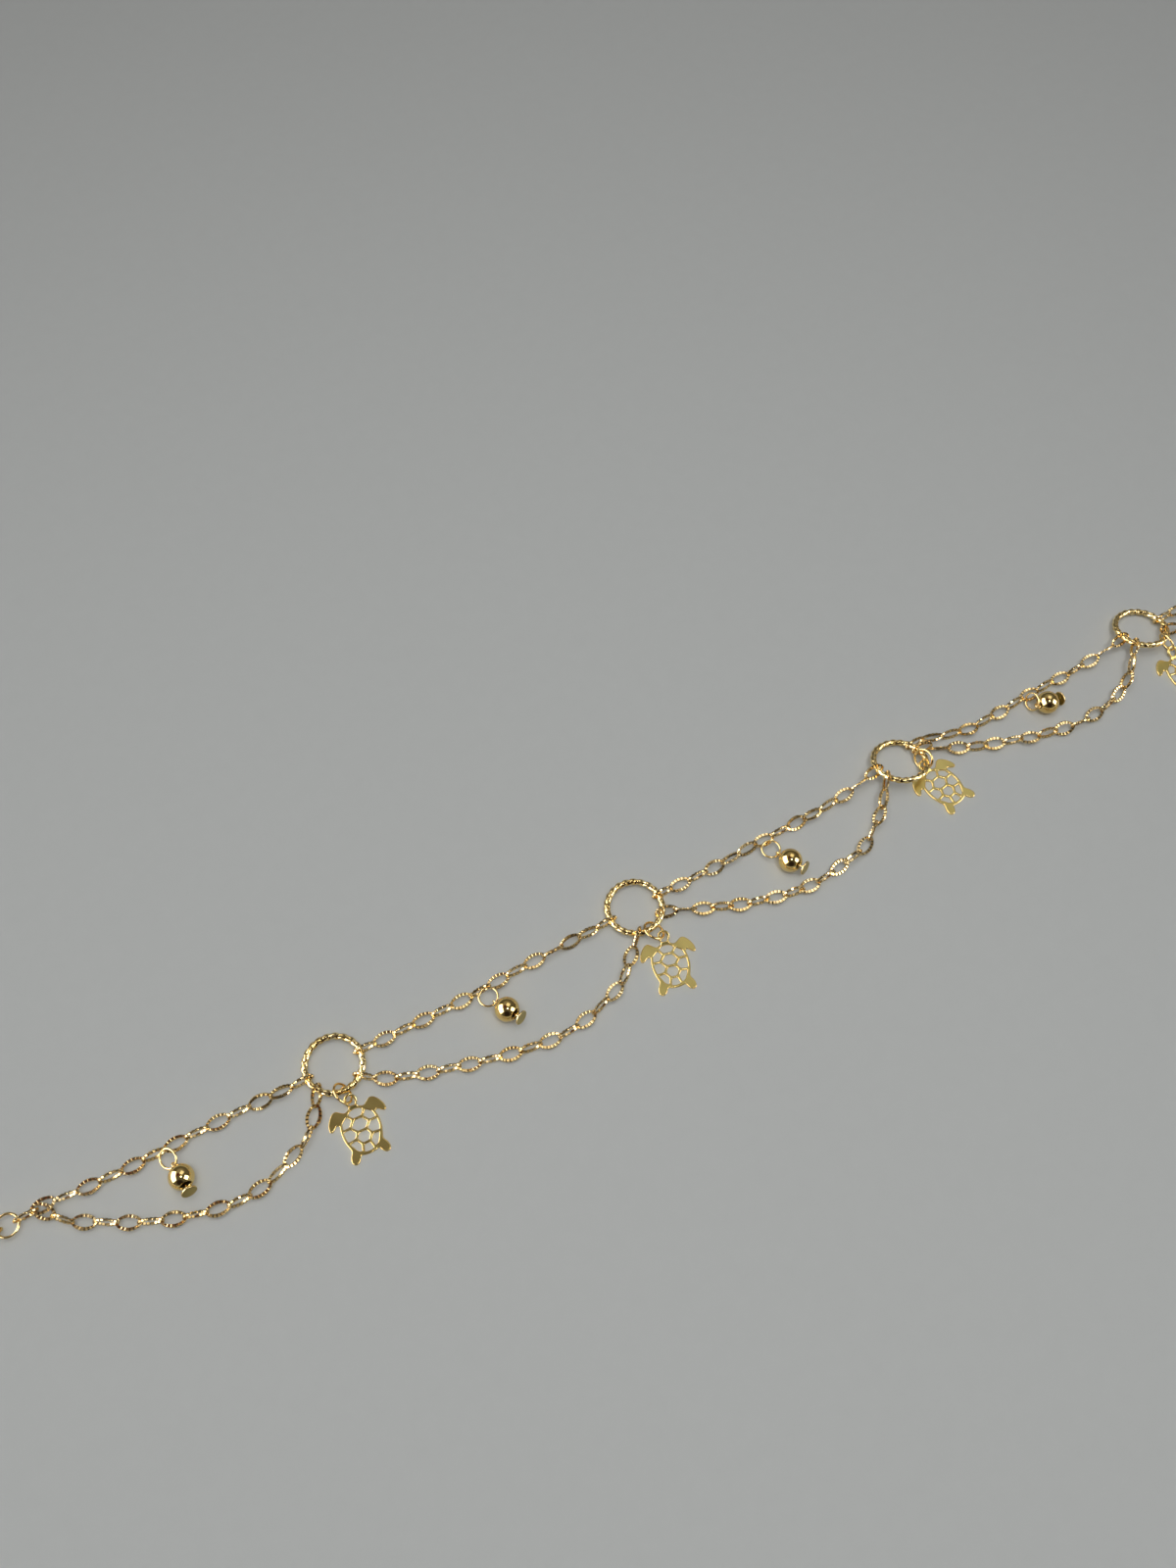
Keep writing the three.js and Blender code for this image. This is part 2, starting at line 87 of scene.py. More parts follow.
def goldFinish(name, look):
    # a gold surface: a slow drift of colour, a fine drift of polish and tiny handling marks, with painted
    # shade in the flutes' grooves where the look gives a colour for it
    material = bpy.data.materials.new(name)
    material.use_nodes = True
    tree = material.node_tree
    nodes = tree.nodes
    surface = nodes["Principled BSDF"]
    surface.inputs["Metallic"].default_value = 1.0
    coords = nodes.new("ShaderNodeTexCoord")

    drift = nodes.new("ShaderNodeTexNoise")
    drift.inputs["Scale"].default_value = look["driftScale"]
    drift.inputs["Detail"].default_value = 2.0
    joinSockets(tree, coords, "Object", drift, "Vector")
    tint = nodes.new("ShaderNodeValToRGB")
    tint.color_ramp.elements[0].position = driftSpread[0]
    tint.color_ramp.elements[0].color = (*look["deep"], 1)
    tint.color_ramp.elements[1].position = driftSpread[1]
    tint.color_ramp.elements[1].color = (*look["pale"], 1)
    joinSockets(tree, drift, "Fac", tint, "Fac")
    if "cut" in look:
        # painted shade: the flutes' groove bottoms get a near-black colour that stands for the shade and
        # dark reflections in the grooves
        grooveShadeMask = nodes.new("ShaderNodeAttribute")
        grooveShadeMask.attribute_name = "grooveShadeMask"
        shaded = nodes.new("ShaderNodeMix")
        shaded.data_type = "RGBA"
        joinSockets(tree, grooveShadeMask, "Fac", shaded, "Factor")
        tree.links.new(tint.outputs["Color"], shaded.inputs[6])
        shaded.inputs[7].default_value = (*look["cut"], 1)
        tree.links.new(shaded.outputs[2], surface.inputs["Base Color"])
    else:
        joinSockets(tree, tint, "Color", surface, "Base Color")

    polish = nodes.new("ShaderNodeTexNoise")
    polish.inputs["Scale"].default_value = look["polishScale"]
    polish.inputs["Detail"].default_value = 4.0
    joinSockets(tree, coords, "Object", polish, "Vector")
    rough = nodes.new("ShaderNodeMapRange")
    rough.inputs["From Min"].default_value = polishSpread[0]
    rough.inputs["From Max"].default_value = polishSpread[1]
    rough.inputs["To Min"].default_value = look["smoothest"]
    rough.inputs["To Max"].default_value = look["roughest"]
    joinSockets(tree, polish, "Fac", rough, "Value")
    joinSockets(tree, rough, "Result", surface, "Roughness")

    grain = nodes.new("ShaderNodeTexNoise")
    grain.inputs["Scale"].default_value = look["grainScale"]
    grain.inputs["Detail"].default_value = 3.0
    joinSockets(tree, coords, "Object", grain, "Vector")
    bump = nodes.new("ShaderNodeBump")
    bump.inputs["Strength"].default_value = look["grainStrength"]
    bump.inputs["Distance"].default_value = look["grainDepth"]
    joinSockets(tree, grain, "Fac", bump, "Height")
    joinSockets(tree, bump, "Normal", surface, "Normal")
    return material


goldLooks = {
    "diamondCutGold": {
        "deep": (0.80, 0.57, 0.22), "pale": (0.95, 0.76, 0.38), "driftScale": 300,
        "smoothest": 0.04, "roughest": 0.1, "polishScale": 900,
        "grainScale": 2500, "grainStrength": 0.25, "grainDepth": 0.00002},
    "chainGold": {
        # the chain's gold has a near-black colour painted into the flutes' grooves as shade
        "deep": (0.80, 0.57, 0.24), "pale": (0.94, 0.73, 0.38), "cut": (0.04, 0.018, 0.01),
        "driftScale": 180,
        "smoothest": 0.1, "roughest": 0.22, "polishScale": 900,
        "grainScale": 2500, "grainStrength": 0.2, "grainDepth": 0.00002},
    "wireGold": {
        "deep": (0.86, 0.62, 0.26), "pale": (0.95, 0.73, 0.36), "driftScale": 250,
        "smoothest": 0.08, "roughest": 0.2, "polishScale": 1200,
        "grainScale": 3000, "grainStrength": 0.15, "grainDepth": 0.00001},
    "polishedGold": {
        "deep": (0.80, 0.57, 0.20), "pale": (0.88, 0.66, 0.27), "driftScale": 200,
        "smoothest": 0.03, "roughest": 0.08, "polishScale": 700,
        "grainScale": 900, "grainStrength": 0.1, "grainDepth": 0.00002},
    # painted shade: a near-black gold for the faces inside the hollow balls
    "shadedGold": {
        "deep": (0.10, 0.06, 0.02), "pale": (0.16, 0.10, 0.03), "driftScale": 200,
        "smoothest": 0.5, "roughest": 0.6, "polishScale": 700,
        "grainScale": 900, "grainStrength": 0.1, "grainDepth": 0.00002},
    # the satin roughness is the real finish; the colour, about half as bright as the other golds, is
    # painted shade that stands for the dim room the flat faces mirror
    "satinGoldWithPaintedShade": {
        "deep": (0.42, 0.335, 0.115), "pale": (0.48, 0.385, 0.135), "driftScale": 350,
        "smoothest": 0.29, "roughest": 0.34, "polishScale": 1500,
        "grainScale": 5000, "grainStrength": 0.35, "grainDepth": 0.00002},
    "brightEdgeGold": {
        "deep": (0.82, 0.60, 0.22), "pale": (0.94, 0.74, 0.34), "driftScale": 350,
        "smoothest": 0.1, "roughest": 0.22, "polishScale": 1500,
        "grainScale": 3000, "grainStrength": 0.2, "grainDepth": 0.00001},
}
golds = {name: goldFinish(name, look) for name, look in goldLooks.items()}


def finishPiece(bm, name, node, materials):
    # the bmesh is in metres in the part's own frame; this makes the piece that stands for the node
    mesh = bpy.data.meshes.new(name)
    bm.to_mesh(mesh)
    bm.free()
    for material in materials:
        mesh.materials.append(golds[material])
    piece = bpy.data.objects.new(name, mesh)
    bpy.context.scene.collection.objects.link(piece)
    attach(piece, "root")
    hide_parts(node)
    return piece


def spinWire(bm, outer, wire, steps, sides):
    # a closed ring of round wire round Z, in millimetres, in a bmesh that is still empty
    made = bmesh.ops.create_circle(bm, cap_ends=False, segments=sides, radius=wire / 2)
    bmesh.ops.rotate(
        bm, verts=made["verts"], cent=(0, 0, 0), matrix=Matrix.Rotation(math.pi / 2, 3, "X"))
    bmesh.ops.translate(bm, verts=made["verts"], vec=((outer - wire) / 2, 0, 0))
    bmesh.ops.spin(
        bm, geom=made["verts"] + bm.edges[:], cent=(0, 0, 0), axis=(0, 0, 1), dvec=(0, 0, 0),
        angle=2 * math.pi, steps=steps, use_merge=True, use_duplicate=False)
    bmesh.ops.recalc_face_normals(bm, faces=bm.faces)
    for face in bm.faces:
        face.smooth = True


def putDown(bm, turn, centre):
    # from millimetres round the piece's own middle to its place
    bmesh.ops.transform(
        bm, verts=bm.verts, matrix=Matrix.Translation(centre) @ turn.to_4x4() @ Matrix.Scale(mm, 4))


print("twisted rings")
twistedRing = {
    "outer": 9.0, "wire": 1.0, "quarterTurns": 22, "squareness": 14, "steps": 264, "sides": 16}
ringPlaces = {  # rings 3 and 4 are tipped up on one side
    "twist_ring_1": {"x": 0, "y": -0.2, "z": 1.05, "lean": 0},
    "twist_ring_2": {"x": 47.7, "y": -0.9, "z": 1.05, "lean": 0},
    "twist_ring_3": {"x": 94.7, "y": -0.8, "z": 1.95, "lean": 16},
    "twist_ring_4": {"x": 142.5, "y": -0.3, "z": 1.7, "lean": 15},
}
leanAxis = Vector((0.867, -0.498, 0)).normalized()


def ringTurn(ring):
    return Matrix.Rotation(-math.radians(ring["lean"]), 3, leanAxis)


def squareWire(bm, settings):
    # turns the round section into a square one, hardly eased, that twists as it goes round
    radius = (settings["outer"] - settings["wire"]) / 2
    power = settings["squareness"]
    for vert in bm.verts:
        around = math.atan2(vert.co.y, vert.co.x)
        out = math.hypot(vert.co.x, vert.co.y) - radius
        section = math.atan2(vert.co.z, out)
        size = abs(math.cos(section)) ** power + abs(math.sin(section)) ** power
        reach = settings["wire"] / 2 * size ** (-1 / power) * 2 ** (1 / power - 0.5)
        twist = section + settings["quarterTurns"] * around / 4
        distance = radius + reach * math.cos(twist)
        vert.co = Vector((
            distance * math.cos(around), distance * math.sin(around), reach * math.sin(twist)))


for name, ring in ringPlaces.items():
    bm = bmesh.new()
    spinWire(bm, twistedRing["outer"], twistedRing["wire"], twistedRing["steps"], twistedRing["sides"])
    squareWire(bm, twistedRing)
    bmesh.ops.recalc_face_normals(bm, faces=bm.faces)
    putDown(bm, ringTurn(ring), place(ring["x"], ring["y"], ring["z"]))
    finishPiece(bm, name.replace("twist", "twisted"), name, ["diamondCutGold"])


print("chains")
chainLink = {
    "length": 3.6, "width": 2.2, "endWire": 0.3, "sideWire": 0.47, "thickness": 0.36,
    "point": 1.8, "sideSwell": 1.5, "shoulder": 0.62, "innerThinning": 0.85,
    "flutes": 15, "fluteDepth": 0.1, "fluteReach": 0.9}
linkBlank = {"outer": 6, "wire": 2, "rimBeyond": 0.9, "insideBelow": -0.5}


def ovalPoint(turn, halfLength, halfWidth):
    power = 2 / chainLink["point"]
    c, s = math.cos(turn), math.sin(turn)
    return Vector((
        math.copysign(halfLength * abs(c) ** power, c), math.copysign(halfWidth * abs(s) ** power, s), 0))


def evenOval(halfLength, halfWidth, count):
    # points round the oval at even spacing, starting at its right-hand end
    steps = 720
    fine = [ovalPoint(2 * math.pi * i / steps, halfLength, halfWidth) for i in range(steps + 1)]
    reach = [0.0]
    for before, after in zip(fine, fine[1:]):
        reach.append(reach[-1] + (after - before).length)
    points, at = [], 0
    for i in range(count):
        wanted = reach[-1] * i / count
        while reach[at + 1] < wanted:
            at += 1
        points.append(fine[at].lerp(fine[at + 1], (wanted - reach[at]) / (reach[at + 1] - reach[at])))
    return points


def makeLink():
    # one oval link: a flat band that is wider along its sides, cut with flutes across both faces
    # a blank ring with a five-sided wire is reshaped; each flute takes three of its steps: the
    # start and end of a flat crest, then the bottom of a narrow groove
    steps, sides = 3 * chainLink["flutes"], 5
    bm = bmesh.new()
    grooveShadeMask = bm.verts.layers.float.new("grooveShadeMask")
    spinWire(bm, linkBlank["outer"], linkBlank["wire"], steps, sides)
    fine = evenOval(
        (chainLink["length"] - chainLink["endWire"]) / 2,
        (chainLink["width"] - chainLink["sideWire"]) / 2, 4 * chainLink["flutes"])
    middle = [fine[4 * flute + at] for flute in range(chainLink["flutes"]) for at in (0, 2, 3)]
    for vert in bm.verts:
        index = round(math.atan2(vert.co.y, vert.co.x) / (2 * math.pi / steps)) % steps
        out = math.hypot(vert.co.x, vert.co.y) - (linkBlank["outer"] - linkBlank["wire"]) / 2
        along = (middle[(index + 1) % steps] - middle[index - 1]).normalized()
        outward = Vector((along.y, -along.x, 0))
        sideways = abs(middle[index].y) / max(point.y for point in middle)
        swell = (chainLink["sideWire"] - chainLink["endWire"]) * sideways ** chainLink["sideSwell"]
        band = chainLink["endWire"] + swell
        depth = chainLink["thickness"] / 2
        # the groove bottoms are marked for the painted shade colour of the chain's finish
        vert[grooveShadeMask] = 0.0
        if abs(middle[index].x) < chainLink["fluteReach"] * chainLink["length"] / 2 and index % 3 == 2:
            depth -= chainLink["fluteDepth"]
            vert[grooveShadeMask] = 1.0
        if out > linkBlank["rimBeyond"]:
            across, level = 1.0, 0.0
        elif out > linkBlank["insideBelow"]:
            across, level = chainLink["shoulder"], math.copysign(depth, vert.co.z)
        else:
            across, level = -1.0, math.copysign(depth * chainLink["innerThinning"], vert.co.z)
        vert.co = middle[index] + outward * band / 2 * across + Vector((0, 0, level))
    bmesh.ops.recalc_face_normals(bm, faces=bm.faces)
    for face in bm.faces:
        face.smooth = False
    mesh = bpy.data.meshes.new("chainLinkShape")
    bm.to_mesh(mesh)
    bm.free()
    return mesh


linkShape = makeLink()

routeHeight = 1.1  # how high a link's middle is
linkGrip = 0.75  # from the middle of a ring's wire to the middle of the link that holds it
faceDrop = 0.2  # how much lower a link lies that shows its face
looseTilt = {"roll": 7, "nod": 3}  # degrees by which a link may lie off its place
chains = {
    "chain_upper_1": {
        "from": {"end": 0, "rise": 0.27, "heading": 0},
        "to": {"ring": "twist_ring_1", "angle": 180, "heading": 180},
        "route": [(-34.5, 1.0, 0), (-28.5, 0.65, 0), (-22.5, 0.55, 0), (-16.6, 0.4, 0),
            (-10.6, 0.1, 0)],
        "rolls": [0, 83, 0, 83, 0, 83, 0, 83, 0, 83, 30, 150, 83]},
    "chain_upper_2": {
        "from": {"ring": "twist_ring_1", "angle": 0, "heading": -3},
        "to": {"ring": "twist_ring_2", "angle": 180, "heading": 180},
        "route": [(7.7, -0.4, 0), (13.6, -0.7, 0), (19.5, -0.9, 0), (25.4, -0.85, 0),
            (31.4, -0.8, 0), (37.3, -0.85, 0)],
        "rolls": [83, 0, 83, 0, 83, 0, 83, 0, 83, 0, 110, 40, 150, 83]},
    "chain_upper_3": {
        "from": {"ring": "twist_ring_2", "angle": 0, "heading": -2},
        "to": {"ring": "twist_ring_3", "angle": 176, "heading": 184},
        "route": [(55.1, -1.1, 0), (61, -1.3, 0), (66.7, -1.2, 0), (72.5, -1.25, 0),
            (78.2, -1.3, 0), (84.2, -1.1, 0.2)],
        "rolls": [83, 0, 83, 30, 130, 65, 175, 83, 35, 150, 80, 0, 110, 50]},
    "chain_upper_4": {
        "from": {"ring": "twist_ring_3", "angle": 27, "heading": 0},
        "to": {"ring": "twist_ring_4", "angle": 184, "heading": 184},
        "route": [(102.3, 0.3, 0.1), (105.2, -0.7, 0), (108.1, -1.2, 0), (113.9, -1.2, 0),
            (120, -0.9, 0), (125.9, -1, 0), (131.7, -0.9, 0.2)],
        "rolls": [80, 150, 75, 0, 83, 0, 83, 0, 83, 0, 83, 0, 110, 50]},
    "chain_upper_5": {
        "from": {"ring": "twist_ring_4", "angle": 2, "heading": -2},
        "to": {"end": 1, "rise": 0.27, "heading": 180},
        "route": [(150.1, -0.3, 0.1), (156, 0, 0), (162, 0.2, 0), (168, 0.4, 0), (174, 0.7, 0),
            (179.5, 1.1, 0)],
        "rolls": [83, 150, 30, 83, 0, 83, 0, 83, 0, 83, 0, 83, 0]},
    "chain_lower_1": {
        "from": {"end": 0, "rise": -0.27, "heading": -52},
        "to": {"ring": "twist_ring_1", "angle": 212, "heading": 236},
        "route": [(-38.7, -1.95, 0), (-36.3, -3.4, 0), (-31.2, -6.4, 0), (-25.8, -8.8, 0),
            (-19.9, -10.4, 0), (-16.9, -10.6, 0), (-13.9, -10.2, 0), (-11, -9.3, 0), (-8.6, -8, 0),
            (-6.4, -6.7, 0)],
        "rolls": [0, 83, 0, 83, 0, 83, 0, 83, 0, 83, 0, 83, 40, 125, 10, 60]},
    "chain_lower_2": {
        "from": {"ring": "twist_ring_1", "angle": -52, "heading": -40},
        "to": {"ring": "twist_ring_2", "angle": 247, "heading": 224},
        "route": [(5.4, -5.5, 0), (8.1, -6.7, 0), (10.9, -7.7, 0), (16.4, -9.5, 0),
            (22.2, -11.1, 0), (28.1, -12.15, 0), (31.1, -12.2, 0), (33.9, -11.8, 0),
            (36.7, -11.1, 0), (39.5, -10.1, 0), (41.9, -8.6, 0), (43.5, -7, 0)],
        "rolls": [83, 0, 83, 0, 83, 0, 83, 0, 83, 0, 83, 0, 83, 0, 70, 170, 83]},
    "chain_lower_3": {
        "from": {"ring": "twist_ring_2", "angle": -42, "heading": -18},
        "to": {"ring": "twist_ring_3", "angle": 203, "heading": 228},
        "route": [(53.8, -4.7, 0), (56.6, -6.1, 0), (62, -8.4, 0), (67.7, -10.1, 0),
            (70.6, -10.6, 0), (73.5, -10.8, 0), (76.4, -10.5, 0), (79.3, -10.1, 0), (82.1, -9.6, 0),
            (84.4, -8.3, 0.1), (86.6, -6.9, 0.4), (88.5, -5.2, 0.8)],
        "rolls": [50, 115, 5, 83, 0, 83, 0, 83, 0, 83, 30, 130, 10, 80, 150, 45, 105]},
    "chain_lower_4": {
        "from": {"ring": "twist_ring_3", "angle": 8, "heading": -8},
        "to": {"ring": "twist_ring_4", "angle": 213, "heading": 225},
        "route": [(101.9, -1.8, 0.1), (104.3, -3, 0), (107, -4.3, 0), (109.6, -5.2, 0),
            (115.1, -7.1, 0), (120.9, -8.5, 0), (123.8, -8.9, 0), (126.6, -8.8, 0),
            (129.5, -8.5, 0), (132.3, -7.7, 0.1), (134.8, -6.5, 0.4), (136.8, -4.9, 0.8)],
        "rolls": [60, 115, 5, 83, 0, 83, 0, 83, 25, 100, 20, 83, 30, 130, 50, 110]},
    "chain_lower_5": {
        "from": {"ring": "twist_ring_4", "angle": -33, "heading": -24},
        "to": {"end": 1, "rise": -0.27, "heading": 232},
        "route": [(149.3, -4.4, 0), (151.6, -6.2, 0), (154.8, -8.3, 0), (159.6, -10.2, 0),
            (165.2, -10.7, 0), (170, -9.9, 0), (174.6, -7.6, 0), (178.9, -4.7, 0),
            (181.2, -2.6, 0)],
        "rolls": [55, 105, 160, 35, 83, 0, 83, 0, 83, 0, 83, 0, 83, 0, 83, 0]},
}
ends = [{"x": -43.4, "y": 1.6, "toward": 1}, {"x": 185.9, "y": 1.3, "toward": -1}]


def gripCentre(grip):
    # where the link that holds a ring or a common link has its middle, in millimetres
    outward = heading(grip["heading"])
    if "ring" in grip:
        ring = ringPlaces[grip["ring"]]
        radius = (twistedRing["outer"] - twistedRing["wire"]) / 2
        on = ringTurn(ring) @ (heading(grip["angle"]) * radius) + Vector((ring["x"], ring["y"], ring["z"]))
        centre = on + outward * linkGrip
        centre.z = max(centre.z, routeHeight)
        return centre, outward
    end = ends[grip["end"]]
    tip = end["x"] + end["toward"] * (chainLink["length"] - chainLink["endWire"]) / 2
    return Vector((tip, end["y"], routeHeight + grip["rise"])) + outward * linkGrip, outward


def smoothRoute(points, between=12):
    # a smooth line through the points
    line = []
    padded = [points[0] * 2 - points[1], *points, points[-1] * 2 - points[-2]]
    for a, b, c, d in zip(padded, padded[1:], padded[2:], padded[3:]):
        for i in range(between):
            t = i / between
            line.append(0.5 * (
                2 * b + (c - a) * t + (2 * a - 5 * b + 4 * c - d) * t * t
                + (3 * b - a - 3 * c + d) * t ** 3))
    return [*line, points[-1]]


def evenlyAlong(line, count):
    # the middles of the links, evenly spaced along the line, their directions and their spacing
    reach = [0.0]
    for before, after in zip(line, line[1:]):
        reach.append(reach[-1] + (after - before).length)
    middles, at = [], 0
    for i in range(count):
        wanted = min(reach[-1] * i / (count - 1), reach[-1] - 1e-6)  # just short of its end
        while reach[at + 1] < wanted:
            at += 1
        middles.append(line[at].lerp(line[at + 1], (wanted - reach[at]) / (reach[at + 1] - reach[at])))
    directions = []
    for i in range(count):
        before, after = middles[max(i - 1, 0)], middles[min(i + 1, count - 1)]
        directions.append((after - before).normalized())
    return middles, directions, reach[-1] / (count - 1)


def linkTurn(direction, roll):
    # the link's long way follows the chain; roll 0 lies face up and 90 stands on edge
    across = Vector((0, 0, 1)).cross(direction).normalized()
    normal = direction.cross(across)
    basis = Matrix((direction, across, normal)).transposed()
    return Matrix.Rotation(math.radians(roll), 3, direction) @ basis


def addLink(bm, centre, turn):
    # adds a link to the piece, raised if a corner of it would dip under the surface
    count = len(bm.verts)
    bm.from_mesh(linkShape)
    bm.verts.ensure_lookup_table()
    fresh = bm.verts[count:]
    matrix = Matrix.Translation(layoutOrigin + centre * mm) @ turn.to_4x4() @ Matrix.Scale(mm, 4)
    bmesh.ops.transform(bm, verts=fresh, matrix=matrix)
    dip = min(vert.co.z for vert in fresh)
    if dip < 0:
        bmesh.ops.translate(bm, verts=fresh, vec=(0, 0, -dip))


for name, chain in chains.items():
    first, firstOut = gripCentre(chain["from"])
    last, lastOut = gripCentre(chain["to"])
    points = [first, *(Vector((x, y, routeHeight + rise)) for x, y, rise in chain["route"]), last]
    rolls = chain["rolls"]
    middles, directions, pitch = evenlyAlong(smoothRoute(points), len(rolls))
    directions[0], directions[-1] = firstOut, -lastOut
    bm = bmesh.new()
    for i, roll in enumerate(rolls):
        inside = 0 < i < len(rolls) - 1
        centre = middles[i].copy()
        if inside:
            centre.z -= faceDrop * abs(math.cos(math.radians(roll)))
        loose = 1 if inside else 0
        turn = linkTurn(
            directions[i], roll + loose * random.uniform(-looseTilt["roll"], looseTilt["roll"]))
        nodAngle = loose * random.uniform(-looseTilt["nod"], looseTilt["nod"])
        nod = Matrix.Rotation(math.radians(nodAngle), 3, turn.col[1])
        addLink(bm, centre, nod @ turn)
    print(f"  {name}: {len(rolls)} links, {pitch:.2f} mm apart")
    finishPiece(bm, name.replace("chain", "linked_chain"), name, ["chainGold"])


print("balls")
ball = {
    "diameter": 3.5, "wall": 0.35, "pinHole": 1.15, "mouth": 1.8, "rimEase": 0.05, "shadedShare": 0.6,
    "lift": 0.02}
headPin = {
    "wire": 0.28, "eye": 1.1, "eyeReach": 2.0, "disc": 2.2, "discThickness": 0.2, "discReach": 2.4,
    "stemOverlap": 0.05, "rimEase": 0.06}
ballRing = {"outer": 3.0, "wire": 0.3}
ballPlaces = {
    1: {"x": -23.8, "y": -4.12, "heading": -84, "pitch": 12, "ring": (-24.5, -0.9, 1.35), "lean": 35},
    2: {"x": 24.32, "y": -5.38, "heading": -64, "pitch": 12, "ring": (22.95, -2.35, 1.35), "lean": 5},
    3: {"x": 71.18, "y": -6.18, "heading": -66, "pitch": 12, "ring": (69.85, -3.1, 1.35), "lean": 0},
    4: {"x": 120.86, "y": -3.78, "heading": -5, "pitch": -13, "ring": (118.9, -2.45, 1.75), "lean": 67},
    5: {"x": 167.35, "y": -4.71, "heading": -80, "pitch": 12, "ring": (166.8, -1.4, 1.35), "lean": 20},
}


def makeBall():
    # a hollow ball, open at the pin's end (-Z) and at its mouth (+Z)
    bm = bmesh.new()
    radius = ball["diameter"] / 2
    bmesh.ops.create_uvsphere(bm, u_segments=64, v_segments=48, radius=radius)
    for hole, way in ((ball["mouth"], 1), (ball["pinHole"], -1)):
        level = math.sqrt(radius ** 2 - (hole / 2) ** 2)
        bmesh.ops.bisect_plane(
            bm, geom=bm.verts[:] + bm.edges[:] + bm.faces[:], plane_co=(0, 0, way * level),
            plane_no=(0, 0, way), clear_outer=True)
    bmesh.ops.remove_doubles(bm, verts=bm.verts, dist=weldReach)
    bmesh.ops.recalc_face_normals(bm, faces=bm.faces)
    bmesh.ops.solidify(bm, geom=bm.faces[:], thickness=ball["wall"])
    bmesh.ops.recalc_face_normals(bm, faces=bm.faces)
    rims = [edge for edge in bm.edges if edge.calc_face_angle(0) > 0.7]
    bmesh.ops.bevel(
        bm, geom=rims, offset=ball["rimEase"], offset_type="OFFSET", segments=2, profile=0.5,
        material=-1, affect="EDGES", clamp_overlap=True)
    # the faces inside the ball take the near-black finish, painted shade for the inside of the hollow
    shadedReach = radius - ball["wall"] * ball["shadedShare"]
    for face in bm.faces:
        face.smooth = True
        face.material_index = 1 if face.calc_center_median().length < shadedReach else 0
    return bm


def makePin():
    # a head pin along Z: its eye at -Z and its flat disc at +Z
    bm = bmesh.new()
    spinWire(bm, headPin["eye"], headPin["wire"], 36, 10)
    bmesh.ops.rotate(bm, verts=bm.verts, cent=(0, 0, 0), matrix=Matrix.Rotation(math.pi / 2, 3, "X"))
    bmesh.ops.translate(bm, verts=bm.verts, vec=(0, 0, -headPin["eyeReach"]))
    start = -(headPin["eyeReach"] - headPin["eye"] / 2 + headPin["wire"] / 2)
    for width, low, high in (
            (headPin["wire"], start, headPin["discReach"] + headPin["stemOverlap"]),
            (headPin["disc"], headPin["discReach"], headPin["discReach"] + headPin["discThickness"])):
        made = bmesh.ops.create_cone(
            bm, cap_ends=True, segments=40, radius1=width / 2, radius2=width / 2, depth=high - low)
        bmesh.ops.translate(bm, verts=made["verts"], vec=(0, 0, (low + high) / 2))
    rims = [edge for edge in bm.edges if edge.calc_face_angle(0) > 1.2]
    bmesh.ops.bevel(
        bm, geom=rims, offset=headPin["rimEase"], offset_type="OFFSET", segments=3, profile=0.5,
        material=-1, affect="EDGES", clamp_overlap=True)
    for face in bm.faces:
        # only the flat ends have many corners
        face.smooth = len(face.verts) < 12
        # the flat ends take the darker satin gold, whose darkness is painted shade
        face.material_index = 0 if face.smooth else 1
    return bm


def makeJumpRing(size):
    bm = bmesh.new()
    spinWire(bm, size["outer"], size["wire"], 64, 12)
    return bm


for number, spot in ballPlaces.items():
    axis = heading(spot["heading"], spot["pitch"])
    centre = Vector((spot["x"], spot["y"], ball["diameter"] / 2 + ball["lift"]))
    eye = centre - axis * headPin["eyeReach"]
    ringMiddle = Vector(spot["ring"])
    reach = (eye - ringMiddle).normalized()
    level = Vector((0, 0, 1)).cross(reach).normalized()
    across = Matrix.Rotation(math.radians(spot["lean"]), 3, reach) @ level
    ringFacing = reach.cross(across)
    eyeFacing = (across - axis * across.dot(axis)).normalized()
    side = eyeFacing.cross(axis)
    pinTurn = Matrix((side, eyeFacing, axis)).transposed()
    ringSpin = Vector((0, 0, 1)).rotation_difference(ringFacing).to_matrix()

    bm = makeBall()
    putDown(bm, pinTurn, layoutOrigin + centre * mm)
    finishPiece(bm, f"ball_{number}", f"bead_{number}", ["polishedGold", "shadedGold"])
    bm = makePin()
    putDown(bm, pinTurn, layoutOrigin + centre * mm)
    finishPiece(bm, f"ball_pin_{number}", f"head_pin_{number}", ["wireGold", "satinGoldWithPaintedShade"])
    bm = makeJumpRing(ballRing)
    putDown(bm, ringSpin, layoutOrigin + ringMiddle * mm)
    finishPiece(bm, f"ball_ring_{number}", f"bead_jump_ring_{number}", ["wireGold"])


